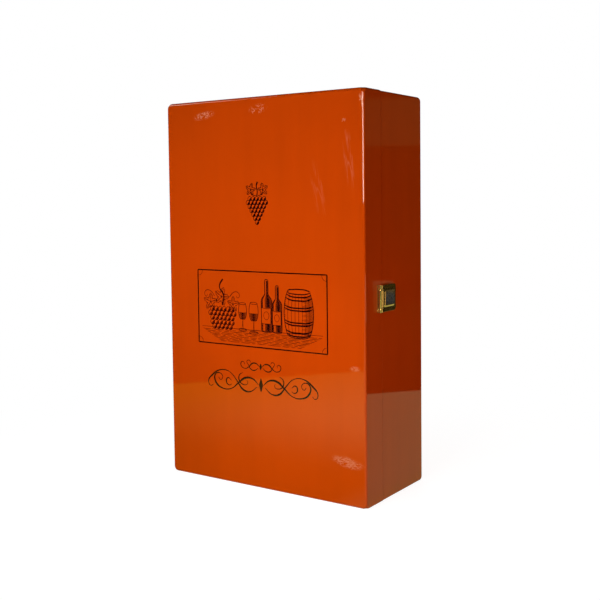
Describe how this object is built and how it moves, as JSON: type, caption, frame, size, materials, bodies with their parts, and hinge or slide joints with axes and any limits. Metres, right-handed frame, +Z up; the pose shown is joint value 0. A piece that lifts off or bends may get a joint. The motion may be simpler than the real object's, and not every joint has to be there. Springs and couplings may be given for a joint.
{
  "type": "wine box",
  "caption": "Upright hinged wine box in lacquered board, with a lined and cushioned inside, bottle cradles, let-in butt hinges and a pressed brass hasp latch.",
  "frame": {"origin": "middle of the outline that the closed box stands on, at floor level, without the latch", "axes": "+X to the latch side, which is on the right as seen from the front; +Y to the back; +Z up"},
  "size_m": [0.2194, 0.102, 0.35],
  "materials": {
    "lacquered_board": "gloss lacquer",
    "velvet": "short pile",
    "satin": "satin weave",
    "card": "matt",
    "brass": "polished"
  },
  "bodies": {
    "base": {"base_back_panel": "lacquered_board", "base_bottom_wall": "lacquered_board", "base_latch_wall": "lacquered_board", "base_top_wall": "lacquered_board", "base_hinge_wall": "lacquered_board", "base_back_lining": "velvet", "base_bottom_lining": "velvet", "base_latch_lining": "velvet", "base_top_lining": "velvet", "base_hinge_lining": "velvet", "bottle_divider": "velvet", "neck_cradles": "velvet", "upper_body_cradles": "velvet", "lower_body_cradles": "velvet", "upper_hinge_base_leaf": "brass", "lower_hinge_base_leaf": "brass", "upper_hinge_pin": "brass", "lower_hinge_pin": "brass", "base_hinge_screws": "brass", "latch_catch_plate": "brass", "latch_catch_screws": "brass"},
    "lid": {"lid_front_panel": "lacquered_board", "lid_bottom_wall": "lacquered_board", "lid_latch_wall": "lacquered_board", "lid_top_wall": "lacquered_board", "lid_hinge_wall": "lacquered_board", "lid_bottom_lining": "velvet", "lid_latch_lining": "velvet", "lid_top_lining": "velvet", "lid_hinge_lining": "velvet", "lid_cushion_board": "card", "lid_cushion": "satin", "upper_hinge_lid_leaf": "brass", "lower_hinge_lid_leaf": "brass", "lid_hinge_screws": "brass", "latch_lid_plate": "brass", "latch_pin": "brass", "latch_lid_screws": "brass"},
    "hasp": {"hasp_flap": "brass"}
  },
  "joints": [
    {"name": "lid_hinge", "type": "hinge", "parent": "base", "child": "lid", "pos_m": [-0.1055, -0.023, 0.175], "axis": [0, 0, -1], "range_deg": [0, 100]},
    {"name": "hasp_swing", "type": "hinge", "parent": "lid", "child": "hasp", "pos_m": [0.1097, -0.0295, 0.175], "axis": [0, 0, -1], "range_deg": [0, 150]}
  ]
}
